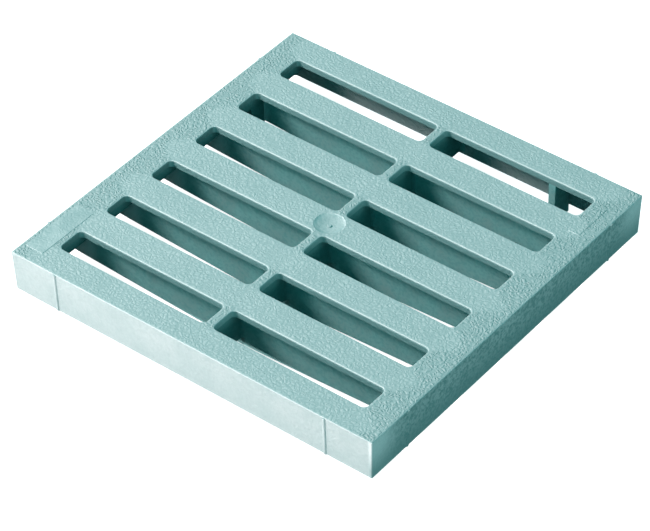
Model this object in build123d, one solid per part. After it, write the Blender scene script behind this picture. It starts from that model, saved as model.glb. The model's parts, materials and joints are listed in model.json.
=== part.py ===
from build123d import *
import math
import os

# Square slotted drain grate (gully cover) moulded in plastic.
# Millimetres, +Z up, X along the slots, Y across them. The origin is under the
# middle of the grate, at the level of its lowest points, the feet of the two lugs.
# The real thing is one moulding. Each member below is its own closed solid, and
# members meet face to face exactly where they run into one another.

# --- overall sizes ----------------------------------------------------------
SIDE = 300.0             # outer width of the square top
SKIRT_HEIGHT = 32.0      # top face down to the rim of the skirt
LUG_DROP = 6.0           # feet of the lugs below the rim of the skirt
DRAFT = 1.05             # how far each side wall leans in over its height
CORNER_RADIUS = 0.8      # upright outer corners
EDGE_ROUND = 0.6         # rounding of every edge of the top face

# --- deck and slots ---------------------------------------------------------
DECK = 5.2               # thickness of the slotted top plate
BORDER = 22.5            # solid border all round the slots
SLOT_ROWS = 6
SLOT_WIDTH = 22.0
SLOT_CORNER = 4.0        # plan radius of the slot corners
SPINE = 6.6              # bridge between the two columns of slots

# --- structure under the deck -----------------------------------------------
WALL = 5.4               # skirt wall, measured at the top
RIB = 8.0                # longitudinal rib under each tread bar
RIB_END_RISE = 2.1       # the rib's lower edge at the skirt, above the skirt's rim
RIB_BELLY = 7.4          # how much lower the rib's two slopes would meet at mid span
KEEL_RADIUS = 500.0      # round turn that joins the two slopes
WEB_RISE = 2.5           # lower edge of the spine web, above the skirt's rim
CELL_RADIUS = 3.0        # upright inner corners between ribs, web and skirt
LIP = 3.0                # thickness of the lip that hangs under the slot ends
LIP_DEPTH = 11.6         # top face to the lower edge of that lip

# --- lugs -------------------------------------------------------------------
LUG_WIDTH = 6.0
LUG_LENGTH = 14.4        # reach of the left lug from the rib that carries it
BACK_LUG_X = 91.8        # middle of the back lug, from the middle of the grate
LUG_EDGE = 0.6           # rounding of the lugs' front edges

# --- small moulded features -------------------------------------------------
DIMPLE_RADIUS = 11.0     # gate dimple in the middle of the top, in plan
DIMPLE_DEPTH = 2.6
GATE_RADIUS = 1.5        # stub of the moulding gate at the bottom of the dimple
GATE_HEIGHT = 0.8
BEAD_INSET = 38.0        # corner of the grate to the middle of a centring bead
BEAD_RADIUS = 1.5
BEAD_PROUD = 0.7
BEAD_STEP = 0.3          # top face down to the flat top of a bead
PAD_HEIGHT = 0.25        # raised pads for marking, left blank
PAD_CORNER = 1.0
PAD_EDGE = 0.15          # rounding of the pads' upper edges
PAD_WIDTH = 15.0
LEFT_PAD_EDGE = 18.0     # outer edge of the top to the pad's inner edge
LEFT_PAD_SPAN = (11.0, 63.0)      # along the left border, from the front edge
RIGHT_PAD_EDGE = 10.5    # outer edge of the top to the pad's outer edge
RIGHT_PAD_WIDTH = 9.0
RIGHT_PAD_SPAN = (240.0, 273.0)   # along the right border, from the front edge

# --- levels and lines that follow from these --------------------------------
RIM = LUG_DROP
TOP = RIM + SKIRT_HEIGHT
UNDERSIDE = TOP - DECK
RIB_END = RIM + RIB_END_RISE             # level of the rib's lower edge at the skirt
WEB_FOOT = RIM + WEB_RISE
HALF = SIDE / 2
INNER = HALF - WALL                      # inner face of the skirt
SLOT_FIELD = HALF - BORDER               # outer limit of the slots, both ways
BAR = (2 * SLOT_FIELD - SLOT_ROWS * SLOT_WIDTH) / (SLOT_ROWS - 1)
PITCH = SLOT_WIDTH + BAR
SLOT_LENGTH = SLOT_FIELD - SPINE / 2
SLOT_MIDDLE = SPINE / 2 + SLOT_LENGTH / 2
BAR_END = SLOT_FIELD - SLOT_CORNER       # the bars stop where the slot corners start
RIB_REACH = RIB / 2 + CELL_RADIUS        # half width of a rib with its flares
WEB_REACH = SPINE / 2 + CELL_RADIUS
slot_rows = [SLOT_FIELD - SLOT_WIDTH / 2 - PITCH * row for row in range(SLOT_ROWS)]
bar_rows = [SLOT_FIELD - SLOT_WIDTH - BAR / 2 - PITCH * row for row in range(SLOT_ROWS - 1)]

parts = {}


def block(x0, x1, y0, y1, z0, z1):
    """A box given by its two limits along each axis."""
    return Pos((x0 + x1) / 2, (y0 + y1) / 2, (z0 + z1) / 2) * Box(x1 - x0, y1 - y0, z1 - z0)


def upright(width, length, radius, z0, z1):
    """A rounded rectangle centred on the Z axis, stood up between two levels."""
    return Pos(0, 0, z0) * extrude(RectangleRounded(width, length, radius), z1 - z0)


def slice_off(solid, point, outward):
    """Cut a solid at a plane: the piece on the outward side, and what is left."""
    plane = Plane(origin=point, z_dir=outward)
    return solid.split(plane, keep=Keep.TOP), solid.split(plane, keep=Keep.BOTTOM)


def upright_edges(solid, y):
    """The vertical edges of a solid that lie at one Y."""
    edges = solid.edges().filter_by(Axis.Z)
    return edges.filter_by_position(Axis.Y, y - 0.01, y + 0.01)


def round_top(solid):
    """Round every edge of a solid's top face."""
    return fillet(solid.faces().sort_by(Axis.Z)[-1].edges(), EDGE_ROUND)


# --- outer shape: a drafted block -------------------------------------------
foot = SIDE - 2 * DRAFT
envelope = loft([
    Pos(0, 0, RIM) * RectangleRounded(foot, foot, CORNER_RADIUS),
    Pos(0, 0, TOP) * RectangleRounded(SIDE, SIDE, CORNER_RADIUS),
])

# --- deck: the top plate with its slots, rounded edges and gate dimple -------
deck = envelope & block(-SIDE, SIDE, -SIDE, SIDE, UNDERSIDE, TOP)
slot = upright(SLOT_LENGTH, SLOT_WIDTH, SLOT_CORNER, UNDERSIDE - DECK, TOP + DECK)
for y in slot_rows:
    for side in (-1, 1):
        deck -= Pos(side * SLOT_MIDDLE, y, 0) * slot
deck = round_top(deck)

ball_radius = (DIMPLE_RADIUS ** 2 + DIMPLE_DEPTH ** 2) / (2 * DIMPLE_DEPTH)
dimple_floor = TOP - DIMPLE_DEPTH
ball = Pos(0, 0, dimple_floor + ball_radius) * Sphere(ball_radius)
gate_root = (dimple_floor + UNDERSIDE) / 2
gate = Pos(0, 0, gate_root) * extrude(Circle(GATE_RADIUS), dimple_floor + GATE_HEIGHT - gate_root)
gate = fillet(gate.edges().sort_by(Axis.Z)[-1], GATE_HEIGHT / 2)
deck = deck - ball + gate

# The deck comes apart into its border and, from back to front, the links of the
# spine and the tread bars between them.
parts["border_front"], rest = slice_off(deck, (0, -SLOT_FIELD, 0), (0, -1, 0))
parts["border_back"], rest = slice_off(rest, (0, SLOT_FIELD, 0), (0, 1, 0))
parts["border_left"], rest = slice_off(rest, (-BAR_END, 0, 0), (-1, 0, 0))
parts["border_right"], rest = slice_off(rest, (BAR_END, 0, 0), (1, 0, 0))
for number, y in enumerate(bar_rows, 1):
    parts[f"spine_link_{number}"], rest = slice_off(rest, (0, y + BAR / 2, 0), (0, 1, 0))
    parts[f"tread_bar_{number}"], rest = slice_off(rest, (0, y - BAR / 2, 0), (0, 1, 0))
parts[f"spine_link_{SLOT_ROWS}"] = rest

# --- skirt: four side walls, mitred at the corners ---------------------------
cavity = upright(2 * INNER, 2 * INNER, CELL_RADIUS, RIM - DECK, UNDERSIDE)
skirt = (envelope & block(-SIDE, SIDE, -SIDE, SIDE, RIM, UNDERSIDE)) - cavity
quarter = make_face(Polyline((0, 0), (-SIDE, -SIDE), (SIDE, -SIDE), close=True))
quarter = Pos(0, 0, RIM) * extrude(quarter, SKIRT_HEIGHT)
for turn, name in enumerate(("front", "right", "back", "left")):
    parts[f"skirt_{name}"] = skirt & (Rot(0, 0, 90 * turn) * quarter)

# --- ribs: plates that belly down, flared where they meet skirt and web ------
keel_left = (-INNER, RIB_END)
keel_right = (INNER, RIB_END)
keel = FilletPolyline(keel_left, (0, RIB_END - RIB_BELLY), keel_right, radius=KEEL_RADIUS)
back_edge = Polyline(keel_right, (INNER, UNDERSIDE), (-INNER, UNDERSIDE), keel_left)
rib = extrude(Plane.XZ * make_face(keel + back_edge), RIB / 2, both=True)
flares = [
    block(-INNER, CELL_RADIUS - INNER, -RIB_REACH, RIB_REACH, RIB_END, UNDERSIDE),
    block(INNER - CELL_RADIUS, INNER, -RIB_REACH, RIB_REACH, RIB_END, UNDERSIDE),
    block(-WEB_REACH, WEB_REACH, -RIB_REACH, RIB_REACH, WEB_FOOT, UNDERSIDE),
]
cell_width = INNER - SPINE / 2
cell_middle = (INNER + SPINE / 2) / 2
cell = upright(cell_width, PITCH - RIB, CELL_RADIUS, 0, UNDERSIDE)
for flare in flares:
    for side in (-1, 1):
        for end in (-1, 1):
            flare -= Pos(side * cell_middle, end * PITCH / 2, 0) * cell
    rib += flare
for number, y in enumerate(bar_rows, 1):
    parts[f"belly_rib_{number}"] = Pos(0, y, 0) * rib

# --- spine web: runs under the links, from rib to rib and out to the skirt ---
web_start = bar_rows[0] + RIB_REACH
end_web = block(-WEB_REACH, WEB_REACH, web_start, INNER, WEB_FOOT, UNDERSIDE)
end_cell_length = INNER - bar_rows[0] - RIB / 2
end_cell = upright(cell_width, end_cell_length, CELL_RADIUS, 0, UNDERSIDE)
for side in (-1, 1):
    end_web -= Pos(side * cell_middle, INNER - end_cell_length / 2, 0) * end_cell
web_length = PITCH - 2 * RIB_REACH
middle_web = block(
    -SPINE / 2, SPINE / 2, -web_length / 2, web_length / 2, WEB_FOOT, UNDERSIDE
)
parts["spine_web_1"] = end_web
for number, y in enumerate(slot_rows[1:-1], 2):
    parts[f"spine_web_{number}"] = Pos(0, y, 0) * middle_web
parts[f"spine_web_{SLOT_ROWS}"] = Rot(0, 0, 180) * end_web

# --- lugs: one on the back skirt, one on the first rib -----------------------
back_lug = block(
    BACK_LUG_X - LUG_WIDTH / 2, BACK_LUG_X + LUG_WIDTH / 2, SLOT_FIELD, INNER, 0, UNDERSIDE
)
parts["lug_back"] = fillet(upright_edges(back_lug, SLOT_FIELD), LUG_EDGE)
lug_back_face = bar_rows[0] - RIB / 2
lug_front_face = lug_back_face - LUG_LENGTH
left_lug = block(
    -SLOT_FIELD - LUG_WIDTH, -SLOT_FIELD, lug_front_face, lug_back_face, 0, UNDERSIDE
)
parts["lug_left"] = fillet(upright_edges(left_lug, lug_front_face), LUG_EDGE)

# --- lips: short walls under the outer ends of the slots, from rib to rib ----
rib_faces = [INNER]
for y in bar_rows:
    rib_faces += [y + RIB / 2, y - RIB / 2]
rib_faces.append(-INNER)
lip_level = TOP - LIP_DEPTH
left_lip = []
right_lip = []
for back, front in zip(rib_faces[0::2], rib_faces[1::2]):
    clear_back = lug_front_face if back == lug_back_face else back
    left_lip.append(
        block(-SLOT_FIELD - LIP, -SLOT_FIELD, front, clear_back, lip_level, UNDERSIDE)
    )
    right_lip.append(block(SLOT_FIELD, SLOT_FIELD + LIP, front, back, lip_level, UNDERSIDE))
parts["end_lip_left"] = Compound(left_lip)
parts["end_lip_right"] = Compound(right_lip)

# --- centring beads: part round, up the leaning outer faces ------------------
lean = math.degrees(math.atan2(DRAFT, SKIRT_HEIGHT))
bead = Pos(0, BEAD_RADIUS - BEAD_PROUD, 0) * extrude(Circle(BEAD_RADIUS), SKIRT_HEIGHT, both=True)
bead = Pos(0, DRAFT - HALF, RIM) * Rot(lean, 0, 0) * bead
bead &= block(-SIDE, SIDE, -SIDE, SIDE, RIM, TOP - BEAD_STEP)
bead_offset = HALF - BEAD_INSET
bead -= Pos(-bead_offset, 0, 0) * round_top(envelope)
for turn, name in enumerate(("front", "right", "back", "left")):
    pair = [Pos(side * bead_offset, 0, 0) * bead for side in (-1, 1)]
    parts[f"centring_beads_{name}"] = Rot(0, 0, 90 * turn) * Compound(pair)


# --- marking pads: thin raised plates on the left and right borders --------
def pad(width, span, middle_x):
    """A thin pad with rounded corners, lying on the top face."""
    length = span[1] - span[0]
    plate = upright(width, length, PAD_CORNER, TOP, TOP + PAD_HEIGHT)
    plate = fillet(plate.faces().sort_by(Axis.Z)[-1].edges(), PAD_EDGE)
    return Pos(middle_x, (span[0] + span[1]) / 2 - HALF, 0) * plate


left_pad_x = LEFT_PAD_EDGE - PAD_WIDTH / 2 - HALF
right_pad_x = HALF - RIGHT_PAD_EDGE - RIGHT_PAD_WIDTH / 2
parts["marking_pad_left"] = pad(PAD_WIDTH, LEFT_PAD_SPAN, left_pad_x)
parts["marking_pad_right"] = pad(RIGHT_PAD_WIDTH, RIGHT_PAD_SPAN, right_pad_x)

os.makedirs("parts", exist_ok=True)
for name, shape in parts.items():
    export_step(shape, f"parts/{name}.step")
print(len(parts), "nodes written")
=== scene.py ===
import json
import math

import bpy
from mathutils import Matrix, Vector


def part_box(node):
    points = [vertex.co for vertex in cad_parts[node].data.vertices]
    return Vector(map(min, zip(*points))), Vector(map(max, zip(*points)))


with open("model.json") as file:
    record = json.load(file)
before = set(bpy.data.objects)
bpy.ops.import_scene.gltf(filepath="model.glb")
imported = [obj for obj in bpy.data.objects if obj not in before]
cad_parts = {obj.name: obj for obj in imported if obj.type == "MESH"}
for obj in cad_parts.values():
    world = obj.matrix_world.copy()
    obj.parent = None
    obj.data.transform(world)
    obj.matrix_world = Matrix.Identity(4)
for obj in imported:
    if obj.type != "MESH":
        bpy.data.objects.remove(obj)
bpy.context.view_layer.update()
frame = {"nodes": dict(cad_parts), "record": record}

# Lengths are in metres and angles in degrees. X runs along the slots and Y across them.
MM = 0.001

# --- places read from the frame ------------------------------------------------------
border_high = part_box("border_front")[1]
bar_low, bar_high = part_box("tread_bar_1")
second_bar_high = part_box("tread_bar_2")[1]
web_low, web_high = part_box("spine_web_2")

HALF = border_high.x                        # half the side of the grate
TOP = border_high.z
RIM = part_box("skirt_right")[0].z            # the lower rim of the skirt
SLOT_FIELD = -border_high.y                 # from the middle out to the border
SPINE = web_high.x - web_low.x              # width of the spine
BAR = bar_high.y - bar_low.y                # width of a bar
PITCH = bar_high.y - second_bar_high.y      # from one bar, or slot, to the next
SLOT_WIDTH = PITCH - BAR
SLOT_CORNER = SLOT_FIELD - bar_high.x       # radius of a slot's corners
SLOT_LENGTH = SLOT_FIELD - SPINE / 2
SLOT_MIDDLE = SPINE / 2 + SLOT_LENGTH / 2
RIB = 8 * MM                                # thickness of a rib, without the fillets in its box

# --- colours (linear) ------------------------------------------------------------------
WHITE = (1.0, 1.0, 1.0, 1.0)
PLASTIC = (0.385, 0.560, 0.560, 1.0)        # the deck and the outer walls
PLASTIC_PALE = (0.470, 0.640, 0.640, 1.0)
PLASTIC_DEEP = (0.270, 0.445, 0.445, 1.0)
PAINTED_END_LIGHT = (0.660, 0.860, 0.860, 1.0)       # painted light at the ends of the ribs and of the right wall
SPOT = (0.170, 0.350, 0.350, 1.0)           # the mottle of the right wall, and its painted shade low down
SHADED = (0.230, 0.620, 0.610, 1.0)         # painted shade: the plastic's colour as it looks in shade, on the ribs and webs below the deck
SHADED_DARK = (0.140, 0.470, 0.470, 1.0)
SLOT_WALL_SHADE = (0.170, 0.400, 0.400, 1.0)      # painted shade on the long sides of the slots
CORNER_SHADE = (0.060, 0.190, 0.190, 1.0)    # painted shade at the outer ends of the slots, along the lips and by the web
FLOOR_COLOUR = (0.8, 0.8, 0.8, 1.0)
BOUNCE_COLOUR = (0.06, 0.13, 0.13, 1.0)

# --- surface patterns --------------------------------------------------------------------
GRAIN = 2.9 * MM                            # width of one cell of the leather grain
GRAIN_DEPTH = 0.50 * MM
GRAIN_DRIFT = 2.2                           # how far the grain wanders, in cells
MOTTLE = 2.4 * MM                           # width of one spot of the plain walls
NOISE_LOW, NOISE_HIGH = 0.3, 0.7            # the range that most of a noise lies in

# --- lobes of smoother plastic along the bars ----------------------------------------------
LOBE_HALF_WIDTH = 0.62 * BAR
LOBE_CORE = 0.36 * BAR                      # half width of the part at full strength by the spine
LOBE_ROUND = 16 * MM                        # how far a lobe's edges lie behind the tip of its front
LOBE_WANDER = 12 * MM                       # how far the fronts are uneven
LOBE_END = SLOT_FIELD + 8 * MM
LOBE_FADED = SLOT_FIELD + 18 * MM


class Net:
    """A material's node tree, with short calls for the nodes that it needs."""

    def __init__(self, name):
        self.material = bpy.data.materials.new(name)
        self.material.use_nodes = True
        self.tree = self.material.node_tree
        self.place = self.add("ShaderNodeTexCoord").outputs["Object"]
        self.x, self.y, self.z = self.add("ShaderNodeSeparateXYZ", {0: self.place}).outputs

    def add(self, kind, inputs=None, **settings):
        """A node with its settings made and its inputs fed, by number or name."""
        node = self.tree.nodes.new(kind)
        for name, value in settings.items():
            setattr(node, name, value)
        for key, value in (inputs or {}).items():
            self.feed(node.inputs[key], value)
        return node

    def feed(self, socket, value):
        """Link a socket to another one, or set its number or colour."""
        if isinstance(value, bpy.types.NodeSocket):
            self.tree.links.new(value, socket)
        else:
            socket.default_value = value

    def finish(self, inputs):
        """The material, with its shader's inputs fed by name."""
        shader = self.tree.nodes["Principled BSDF"]
        for name, value in inputs.items():
            self.feed(shader.inputs[name], value)
        return self.material

    def math(self, operation, a, b=0.0):
        return self.add("ShaderNodeMath", {0: a, 1: b}, operation=operation).outputs[0]

    def plus(self, a, b):
        return self.math("ADD", a, b)

    def minus(self, a, b):
        return self.math("SUBTRACT", a, b)

    def times(self, a, b):
        return self.math("MULTIPLY", a, b)

    def away(self, value):
        """Distance of a coordinate from 0."""
        return self.math("ABSOLUTE", value)

    def reach(self):
        """Distance from the middle of the grate along X or Y, whichever is more."""
        return self.math("MAXIMUM", self.away(self.x), self.away(self.y))

    def ease(self, value, start, end, first=0.0, last=1.0):
        """A smooth step from first, at start, to last, at end."""
        inputs = {"Value": value, "From Min": start, "From Max": end, "To Min": first, "To Max": last}
        node = self.add("ShaderNodeMapRange", inputs, interpolation_type="SMOOTHSTEP")
        return node.outputs["Result"]

    def fade(self, value, start, end, high=1.0):
        """A smooth step down from high, at start, to 0, at end."""
        return self.ease(value, start, end, first=high, last=0.0)

    def spread(self, noise, low, high):
        """A noise drawn out to run from low to high."""
        return self.ease(noise, NOISE_LOW, NOISE_HIGH, first=low, last=high)

    def stretch(self, x, y, z):
        """The place on the object with each axis scaled, to draw a pattern out."""
        inputs = {0: self.place, 1: (x, y, z)}
        return self.add("ShaderNodeVectorMath", inputs, operation="MULTIPLY").outputs[0]

    def noise(self, cell, place=None, detail=3.0, roughness=0.5):
        """Noise whose blobs are about one cell wide."""
        inputs = {
            "Vector": place or self.place,
            "Scale": 1 / cell,
            "Detail": detail,
            "Roughness": roughness,
        }
        return self.add("ShaderNodeTexNoise", inputs).outputs["Fac"]

    def mix(self, factor, a, b):
        """A colour from a, where the factor is 0, to b, where it is 1."""
        inputs = {"Factor": factor, 6: a, 7: b}
        return self.add("ShaderNodeMix", inputs, data_type="RGBA").outputs[2]

    def bump(self, height, depth, normal=None):
        """A normal bent by a height from 0 to 1 that stands for a depth in metres."""
        inputs = {"Height": height, "Distance": depth}
        if normal:
            inputs["Normal"] = normal
        return self.add("ShaderNodeBump", inputs).outputs["Normal"]

    def off_slot(self, y):
        """Distance of y from the middle line of the nearest slot."""
        share = self.math("FRACT", self.math("DIVIDE", y, PITCH))
        return self.times(self.away(self.minus(share, 0.5)), PITCH)

    def off_bar(self):
        """Distance along Y from the middle line of the nearest bar, half a pitch off a slot's."""
        return self.off_slot(self.plus(self.y, PITCH / 2))


def edge_distance(net):
    """Distance on the top face from the nearest edge of a slot or of the grate."""
    across = net.minus(net.away(net.minus(net.away(net.x), SLOT_MIDDLE)), SLOT_LENGTH / 2 - SLOT_CORNER)
    along = net.minus(net.off_slot(net.y), SLOT_WIDTH / 2 - SLOT_CORNER)
    corner = net.add("ShaderNodeCombineXYZ", {
        0: net.math("MAXIMUM", across, 0.0),
        1: net.math("MAXIMUM", along, 0.0),
    }).outputs[0]
    outside = net.add("ShaderNodeVectorMath", {0: corner}, operation="LENGTH").outputs["Value"]
    inside = net.math("MINIMUM", net.math("MAXIMUM", across, along), 0.0)
    slot = net.minus(net.plus(outside, inside), SLOT_CORNER)
    return net.math("MINIMUM", slot, net.minus(HALF, net.reach()))


def flow_lobes(net):
    """1 where plastic flowed straight along the bars, with round fronts at their ends."""
    off_bar = net.off_bar()
    round_front = net.times(net.math("POWER", net.math("DIVIDE", off_bar, LOBE_HALF_WIDTH), 2.0), LOBE_ROUND)
    wander = net.times(net.minus(net.noise(9 * MM, detail=2.0), 0.5), LOBE_WANDER)
    front = net.plus(net.plus(net.away(net.x), round_front), wander)
    along_bar = net.fade(off_bar, LOBE_CORE, LOBE_HALF_WIDTH)
    near_spine = net.fade(net.away(net.x), SPINE, 3 * SPINE)
    between_bars = net.times(near_spine, net.minus(1.0, along_bar))
    return net.times(net.fade(front, LOBE_END, LOBE_FADED), net.minus(1.0, between_bars))


def leather(net):
    """Height of the leather grain: rounded worms between fine creases."""
    drift = net.add("ShaderNodeTexNoise", {"Vector": net.place, "Scale": 1 / (3 * GRAIN), "Detail": 2.0})
    inputs = {0: drift.outputs["Color"], 1: (GRAIN_DRIFT * GRAIN,) * 3, 2: net.place}
    bent = net.add("ShaderNodeVectorMath", inputs, operation="MULTIPLY_ADD").outputs[0]
    cells = net.add(
        "ShaderNodeTexVoronoi",
        {"Vector": bent, "Scale": 1 / GRAIN, "Randomness": 1.0},
        feature="DISTANCE_TO_EDGE",
    )
    plump = net.ease(cells.outputs["Distance"], 0.02, 0.35)
    fine = net.noise(0.45 * GRAIN, detail=2.0)
    return net.plus(net.times(plump, 0.75), net.times(fine, 0.25))


def satin_coat(net):
    """Colour, roughness and normal of the smooth outer walls, with faint draw marks.

    The right wall is more mottled than the others. All walls have painted shade low down, the right one
    most, and the right wall has painted light at its ends.
    """
    draw = net.noise(1.2 * MM, net.stretch(1.0, 1.0, 0.04), detail=3.0)
    clouds = net.noise(18 * MM, detail=5.0, roughness=0.65)
    mottle = net.noise(MOTTLE, detail=4.0, roughness=0.65)
    right = net.ease(net.x, HALF - 4 * MM, HALF - 2 * MM)
    spots_and_shade = net.mix(right, PLASTIC_DEEP, SPOT)

    colour = net.mix(net.spread(clouds, 0.0, 0.6), PLASTIC, PLASTIC_PALE)
    spots = net.times(net.ease(mottle, 0.40, 0.62), net.ease(right, 0.0, 1.0, first=0.25, last=0.95))
    colour = net.mix(spots, colour, spots_and_shade)
    # Painted light at the two ends of the right wall.
    end = net.times(right, net.ease(net.away(net.y), HALF - 34 * MM, HALF - 8 * MM))
    colour = net.mix(net.times(end, 0.8), colour, PAINTED_END_LIGHT)
    # Painted shade low down on the walls, strongest on the right wall.
    low = net.times(net.fade(net.z, RIM, TOP - 6 * MM), net.ease(right, 0.0, 1.0, first=0.3, last=0.8))
    colour = net.mix(low, colour, spots_and_shade)
    rim = net.fade(net.z, RIM + 0.3 * MM, RIM + 1.6 * MM, high=0.5)
    colour = net.mix(rim, colour, PLASTIC_PALE)

    roughness = net.spread(draw, 0.38, 0.52)
    normal = net.bump(clouds, 0.25 * MM, net.bump(draw, 0.03 * MM, net.bump(mottle, 0.5 * MM)))
    return colour, roughness, normal


def textured_plastic():
    """The deck: leather grain on top, smoother along the rims and where the flow was straight."""
    net = Net("textured_plastic")
    side_colour, side_roughness, side_normal = satin_coat(net)
    grain = leather(net)
    lobes = flow_lobes(net)
    edge = edge_distance(net)
    reach = net.reach()
    level = net.ease(net.z, TOP - 0.5 * MM, TOP - 0.05 * MM)
    open_face = net.times(net.ease(edge, 0.4 * MM, 1.6 * MM), level)
    worn = net.times(net.fade(edge, 0.0, MM), net.ease(net.z, TOP - 2 * MM, TOP - MM))
    clouds = net.noise(28 * MM, detail=4.0, roughness=0.6)
    speckle = net.noise(2.2 * MM, detail=2.0)

    colour = net.mix(net.spread(clouds, 0.0, 0.5), PLASTIC, PLASTIC_PALE)
    colour = net.mix(net.times(net.minus(1.0, lobes), 0.52), colour, PLASTIC_DEEP)
    crease = net.times(net.fade(grain, 0.15, 0.65, high=0.5), open_face)
    colour = net.mix(crease, colour, PLASTIC_DEEP)
    colour = net.mix(net.ease(speckle, 0.55, 0.75, last=0.3), colour, PLASTIC_PALE)

    # Painted shade on the walls of the slots, darkest at their outer ends, but not on the walls of the
    # dimple in the middle of the deck.
    slot_shade = net.fade(reach, SLOT_FIELD + MM, SLOT_FIELD + 3 * MM, high=0.8)
    slot_shade = net.times(slot_shade, net.ease(reach, SPINE, BAR / 2))
    slot_end_shade = net.ease(net.away(net.x), SLOT_FIELD - MM, SLOT_FIELD)
    wall_colour = net.mix(slot_shade, side_colour, net.mix(slot_end_shade, SLOT_WALL_SHADE, CORNER_SHADE))
    colour = net.mix(level, wall_colour, colour)
    wear = net.times(worn, 0.1)
    colour = net.mix(wear, colour, PLASTIC_PALE)

    rough = net.ease(grain, 0.1, 0.8, first=0.62, last=0.46)
    rough = net.add("ShaderNodeMix", {"Factor": level, "A": side_roughness, "B": rough}).outputs["Result"]
    depth = net.times(open_face, net.ease(lobes, 0.0, 1.0, first=1.0, last=0.45))
    normal = net.bump(net.times(grain, depth), GRAIN_DEPTH, side_normal)
    return net.finish({"Base Color": colour, "Roughness": net.minus(rough, wear), "Normal": normal})


def smooth_plastic():
    """The skirt and its beads: satin."""
    net = Net("smooth_plastic")
    colour, roughness, normal = satin_coat(net)
    return net.finish({"Base Color": colour, "Roughness": roughness, "Normal": normal})


def pad_plastic():
    """The left marking pad: satin, with fine scuffs and a faint trace of the deck's grain."""
    net = Net("pad_plastic")
    scuffs = net.noise(1.5 * MM, net.stretch(1.0, 0.12, 1.0), detail=4.0)
    clouds = net.noise(12 * MM, detail=3.0)
    colour = net.mix(net.spread(clouds, 0.2, 0.7), PLASTIC_PALE, PLASTIC_DEEP)
    colour = net.mix(net.fade(net.z, TOP, TOP + 0.2 * MM, high=0.8), colour, PLASTIC_DEEP)
    roughness = net.spread(scuffs, 0.32, 0.48)
    normal = net.bump(scuffs, 0.05 * MM, net.bump(leather(net), 0.3 * GRAIN_DEPTH))
    return net.finish({"Base Color": colour, "Roughness": roughness, "Normal": normal})


def inner_plastic():
    """Ribs, webs, lips and lugs: duller, with draw marks down their faces, in a painted-shade copy of the
    plastic's colour, with painted shade by the lips and web and painted light at the rib ends.
    """
    net = Net("inner_plastic")
    draw = net.noise(1.6 * MM, net.stretch(1.0, 1.0, 0.06), detail=4.0)
    clouds = net.noise(16 * MM, detail=5.0, roughness=0.6)
    mottle = net.noise(MOTTLE, detail=3.0)
    across = net.away(net.x)
    off_rib = net.off_bar()

    colour = net.mix(net.spread(clouds, 0.0, 0.4), SHADED, PLASTIC_DEEP)
    colour = net.mix(net.ease(mottle, 0.40, 0.70, last=0.6), colour, SHADED_DARK)
    # Painted light on the rib faces near their outer ends, by the skirt.
    on_rib = net.fade(off_rib, RIB / 2 + MM, RIB / 2 + 2 * MM)
    rib_end_light = net.times(on_rib, net.ease(across, SLOT_FIELD - 8 * MM, SLOT_FIELD + 2 * MM))
    colour = net.mix(rib_end_light, colour, PAINTED_END_LIGHT)
    # Painted shade along the lips at the outer ends and beside the spine's web.
    beside_rib = net.ease(off_rib, RIB / 2, RIB / 2 + MM)
    lip = net.times(beside_rib, net.ease(across, SLOT_FIELD - MM, SLOT_FIELD))
    web = net.fade(across, SPINE / 2, SPINE / 2 + 3 * MM, high=0.6)
    colour = net.mix(net.plus(net.times(lip, 0.8), web), colour, CORNER_SHADE)

    roughness = net.spread(draw, 0.48, 0.64)
    normal = net.bump(mottle, 0.06 * MM, net.bump(draw, 0.05 * MM))
    return net.finish({"Base Color": colour, "Roughness": roughness, "Normal": normal})


finishes = {
    "textured_plastic": textured_plastic(),
    "smooth_plastic": smooth_plastic(),
    "pad_plastic": pad_plastic(),
    "inner_plastic": inner_plastic(),
}
for subpart in frame["record"]["subparts"]:
    mesh = frame["nodes"][subpart["node"]].data
    mesh.materials.clear()
    mesh.materials.append(finishes[subpart["material_slot"]])


# --- stage: a pale floor with a backdrop, and a floor that only bounces light --------------
STAGE_RADIUS = 6.0
STAGE_SIDES = 48
BACKDROP_HEIGHT = 8.0
FLOOR_DROP = 0.1 * MM                       # the floors lie just below the grate's lugs
FLOOR_ROUGHNESS = 0.9
FLOOR_GLOW = 1.0


def stage_piece(name, height, finish, wall=0.0):
    """A round floor with a wall of a given height about its edge."""
    turns = [2 * math.pi * i / STAGE_SIDES for i in range(STAGE_SIDES)]
    ring = [(STAGE_RADIUS * math.cos(turn), STAGE_RADIUS * math.sin(turn)) for turn in turns]
    points = [(x, y, height) for x, y in ring]
    faces = [tuple(range(STAGE_SIDES))]
    if wall:
        points += [(x, y, height + wall) for x, y in ring]
        for i in range(STAGE_SIDES):
            after = (i + 1) % STAGE_SIDES
            faces.append((i, after, STAGE_SIDES + after, STAGE_SIDES + i))
    mesh = bpy.data.meshes.new(name)
    mesh.from_pydata(points, [], faces)
    mesh.materials.append(finish)
    piece = bpy.data.objects.new(name, mesh)
    bpy.context.scene.collection.objects.link(piece)
    return piece


def floor_finish(name, colour, glow):
    """A matt floor that may glow a little, so that it stays pale in the shade."""
    return Net(name).finish({
        "Base Color": colour,
        "Roughness": FLOOR_ROUGHNESS,
        "Emission Color": WHITE,
        "Emission Strength": glow,
    })


shown_finish = floor_finish("pale_floor", FLOOR_COLOUR, FLOOR_GLOW)
shown_floor = stage_piece("floor", -FLOOR_DROP, shown_finish, wall=BACKDROP_HEIGHT)
shown_floor.visible_diffuse = False
shown_floor.visible_glossy = False
shown_floor.visible_shadow = False
bounce_floor = stage_piece("bounce_floor", -2 * FLOOR_DROP, floor_finish("bounce", BOUNCE_COLOUR, 0.0))
bounce_floor.visible_camera = False


# --- light: three soft boxes about the grate, and a dim teal room ---------------------------
ROOM_TINT = (0.20, 0.98, 1.0, 1.0)
ROOM_STRENGTH = 0.39


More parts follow.
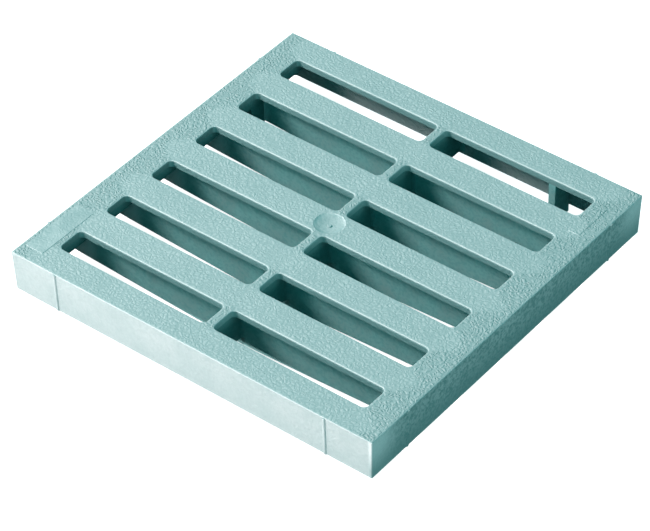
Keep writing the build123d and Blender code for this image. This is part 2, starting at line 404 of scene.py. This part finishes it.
def direction(azimuth, elevation):
    """The way out from the grate: azimuth 0 is its front, at -Y, and 90 its right side."""
    a, e = math.radians(azimuth), math.radians(elevation)
    return Vector((math.sin(a) * math.cos(e), -math.cos(a) * math.cos(e), math.sin(e)))


def soft_box(name, azimuth, elevation, distance, size, power, colour):
    """A flat soft light that looks at the middle of the grate's top; its power is in watts."""
    lamp = bpy.data.lights.new(name, "AREA")
    lamp.shape = "RECTANGLE"
    lamp.size, lamp.size_y = size
    lamp.energy = power
    lamp.color = colour
    piece = bpy.data.objects.new(name, lamp)
    away = direction(azimuth, elevation)
    piece.location = Vector((0, 0, TOP)) + away * distance
    piece.rotation_euler = away.to_track_quat("Z", "Y").to_euler()
    piece.visible_camera = False
    bpy.context.scene.collection.objects.link(piece)


soft_box("low_front", azimuth=-26, elevation=2, distance=2.2, size=(1.6, 0.12),
         power=64.0, colour=(1.0, 0.70, 0.70))
soft_box("high_left", azimuth=-60, elevation=40, distance=3.2, size=(1.4, 1.4),
         power=138.0, colour=(1.0, 0.77, 0.77))
soft_box("low_right", azimuth=80, elevation=4, distance=2.2, size=(1.2, 0.12),
         power=9.0, colour=(1.0, 1.0, 1.0))

world = bpy.data.worlds.new("room")
world.use_nodes = True
room = world.node_tree.nodes["Background"]
room.inputs["Color"].default_value = ROOM_TINT
room.inputs["Strength"].default_value = ROOM_STRENGTH
bpy.context.scene.world = world
bpy.context.scene.view_settings.view_transform = "Standard"

# --- camera -----------------------------------------------------------------------------------
CAMERA_LENS = 184.38                        # millimetres, as is the width of the sensor
CAMERA_SENSOR = 36.0
CAMERA_AZIMUTH = 38.501
CAMERA_ELEVATION = 41.166
CAMERA_DISTANCE = 2.1856
CAMERA_ROLL = -0.872
CAMERA_AIM = Vector((23.89 * MM, -35.51 * MM, TOP))

camera_data = bpy.data.cameras.new("camera")
camera_data.lens = CAMERA_LENS
camera_data.sensor_width = CAMERA_SENSOR
camera = bpy.data.objects.new("camera", camera_data)
back = direction(CAMERA_AZIMUTH, CAMERA_ELEVATION)
right = direction(CAMERA_AZIMUTH + 90, 0)
upright = Matrix((right, back.cross(right), back)).transposed()
turned = upright @ Matrix.Rotation(math.radians(CAMERA_ROLL), 3, "Z")
camera.matrix_world = Matrix.Translation(CAMERA_AIM + back * CAMERA_DISTANCE) @ turned.to_4x4()
bpy.context.scene.collection.objects.link(camera)
bpy.context.scene.camera = camera
